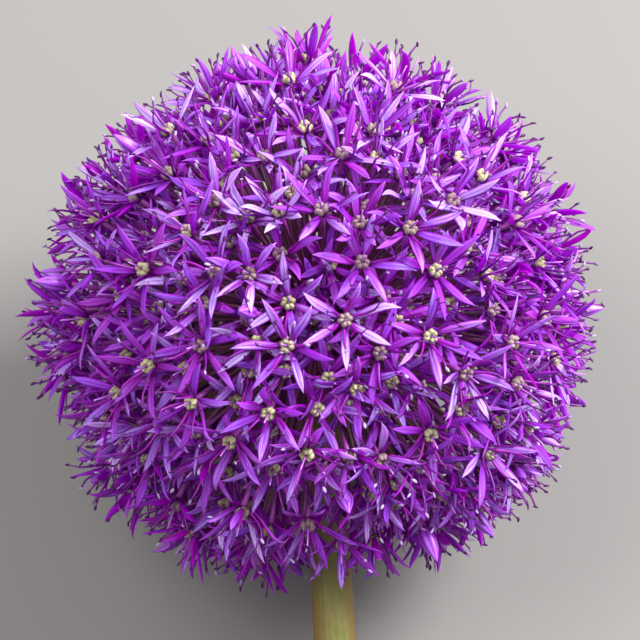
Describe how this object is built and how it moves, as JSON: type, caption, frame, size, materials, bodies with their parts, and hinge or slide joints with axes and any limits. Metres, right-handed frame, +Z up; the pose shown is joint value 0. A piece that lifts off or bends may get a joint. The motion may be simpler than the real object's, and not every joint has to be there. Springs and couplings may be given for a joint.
{
  "type": "allium flower head",
  "caption": "Round purple allium flower head of many starry florets on thin pedicels, picked with a short length of its green stalk and laid on its side.",
  "frame": {"origin": "the middle of the bounding box's bottom, on the surface that the flower lies on", "axes": "+Z is up; the flower lies on its side with its stalk towards -Y and its head towards +Y, and +X is to the right when it is seen from the stalk's end"},
  "size_m": [0.0989, 0.1541, 0.0967],
  "materials": {
    "stalk": null,
    "florets": null
  },
  "bodies": {
    "root": {"scape": "stalk", "cyme_01": "florets", "cyme_02": "florets", "cyme_03": "florets", "cyme_04": "florets", "cyme_05": "florets", "cyme_06": "florets", "cyme_07": "florets", "cyme_08": "florets", "cyme_09": "florets", "cyme_10": "florets", "cyme_11": "florets", "cyme_12": "florets", "cyme_13": "florets", "cyme_14": "florets", "cyme_15": "florets", "cyme_16": "florets", "cyme_17": "florets", "cyme_18": "florets", "cyme_19": "florets", "cyme_20": "florets", "cyme_21": "florets", "cyme_22": "florets", "cyme_23": "florets", "cyme_24": "florets", "cyme_25": "florets", "cyme_26": "florets", "cyme_27": "florets", "cyme_28": "florets", "cyme_29": "florets", "cyme_30": "florets", "cyme_31": "florets", "cyme_32": "florets", "cyme_33": "florets", "cyme_34": "florets", "cyme_35": "florets", "cyme_36": "florets", "cyme_37": "florets", "cyme_38": "florets", "cyme_39": "florets", "cyme_40": "florets", "cyme_41": "florets"}
  },
  "joints": []
}
